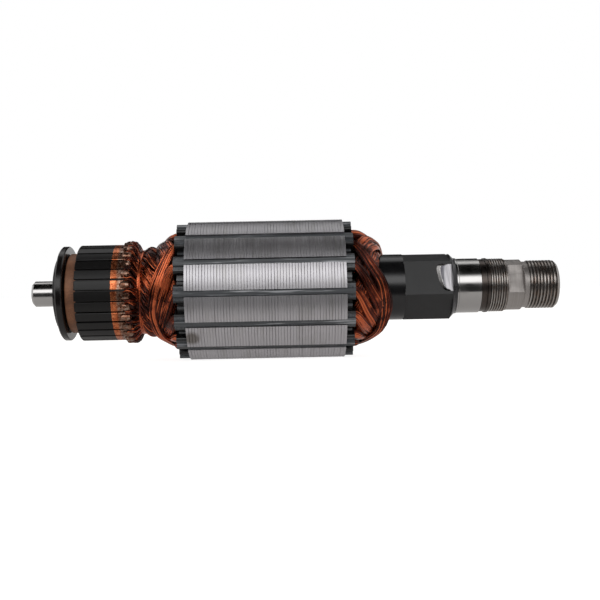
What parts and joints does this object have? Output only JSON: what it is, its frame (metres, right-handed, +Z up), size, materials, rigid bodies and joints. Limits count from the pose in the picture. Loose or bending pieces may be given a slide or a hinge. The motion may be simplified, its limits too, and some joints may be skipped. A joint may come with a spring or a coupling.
{
  "type": "motor armature",
  "caption": "Wound rotor of a universal motor: steel spindle with a laminated slotted core, copper end windings, a hooked commutator, a fan hexagon, bearing seats and a threaded collet end.",
  "frame": {"origin": "on the shaft's axis, in the middle of the drive-end bearing seat", "axes": "+X along the shaft towards the threaded drive end, +Z up, -Y towards the viewer"},
  "size_m": [0.1631, 0.043, 0.043],
  "materials": {
    "ground_steel": "satin",
    "black_sleeve": "satin",
    "core_steel": "satin",
    "grey_plastic": "satin",
    "black_moulding": "satin",
    "brown_moulding": "matte",
    "commutator_copper": "satin",
    "enamelled_copper": "gloss"
  },
  "bodies": {
    "root": {"shaft": "ground_steel", "shaft_sleeve": "black_sleeve", "lamination_stack": "core_steel", "commutator_end_insulator": "grey_plastic", "drive_end_insulator": "grey_plastic", "slot_wedges": "grey_plastic", "commutator_core": "black_moulding", "commutator_end_ring": "brown_moulding", "commutator_flange": "black_moulding", "coil_leads": "enamelled_copper", "binding_cord": "enamelled_copper", "commutator_bar_01": "commutator_copper", "commutator_bar_02": "commutator_copper", "commutator_bar_03": "commutator_copper", "commutator_bar_04": "commutator_copper", "commutator_bar_05": "commutator_copper", "commutator_bar_06": "commutator_copper", "commutator_bar_07": "commutator_copper", "commutator_bar_08": "commutator_copper", "commutator_bar_09": "commutator_copper", "commutator_bar_10": "commutator_copper", "commutator_bar_11": "commutator_copper", "commutator_bar_12": "commutator_copper", "commutator_bar_13": "commutator_copper", "commutator_bar_14": "commutator_copper", "commutator_bar_15": "commutator_copper", "commutator_bar_16": "commutator_copper", "commutator_bar_17": "commutator_copper", "commutator_bar_18": "commutator_copper", "commutator_bar_19": "commutator_copper", "commutator_bar_20": "commutator_copper", "commutator_bar_21": "commutator_copper", "commutator_bar_22": "commutator_copper", "commutator_bar_23": "commutator_copper", "commutator_bar_24": "commutator_copper", "commutator_bar_25": "commutator_copper", "commutator_bar_26": "commutator_copper", "commutator_bar_27": "commutator_copper", "commutator_bar_28": "commutator_copper", "coil_01": "enamelled_copper", "coil_02": "enamelled_copper", "coil_03": "enamelled_copper", "coil_04": "enamelled_copper", "coil_05": "enamelled_copper", "coil_06": "enamelled_copper", "coil_07": "enamelled_copper", "coil_08": "enamelled_copper", "coil_09": "enamelled_copper", "coil_10": "enamelled_copper", "coil_11": "enamelled_copper", "coil_12": "enamelled_copper", "coil_13": "enamelled_copper", "coil_14": "enamelled_copper"}
  },
  "joints": []
}
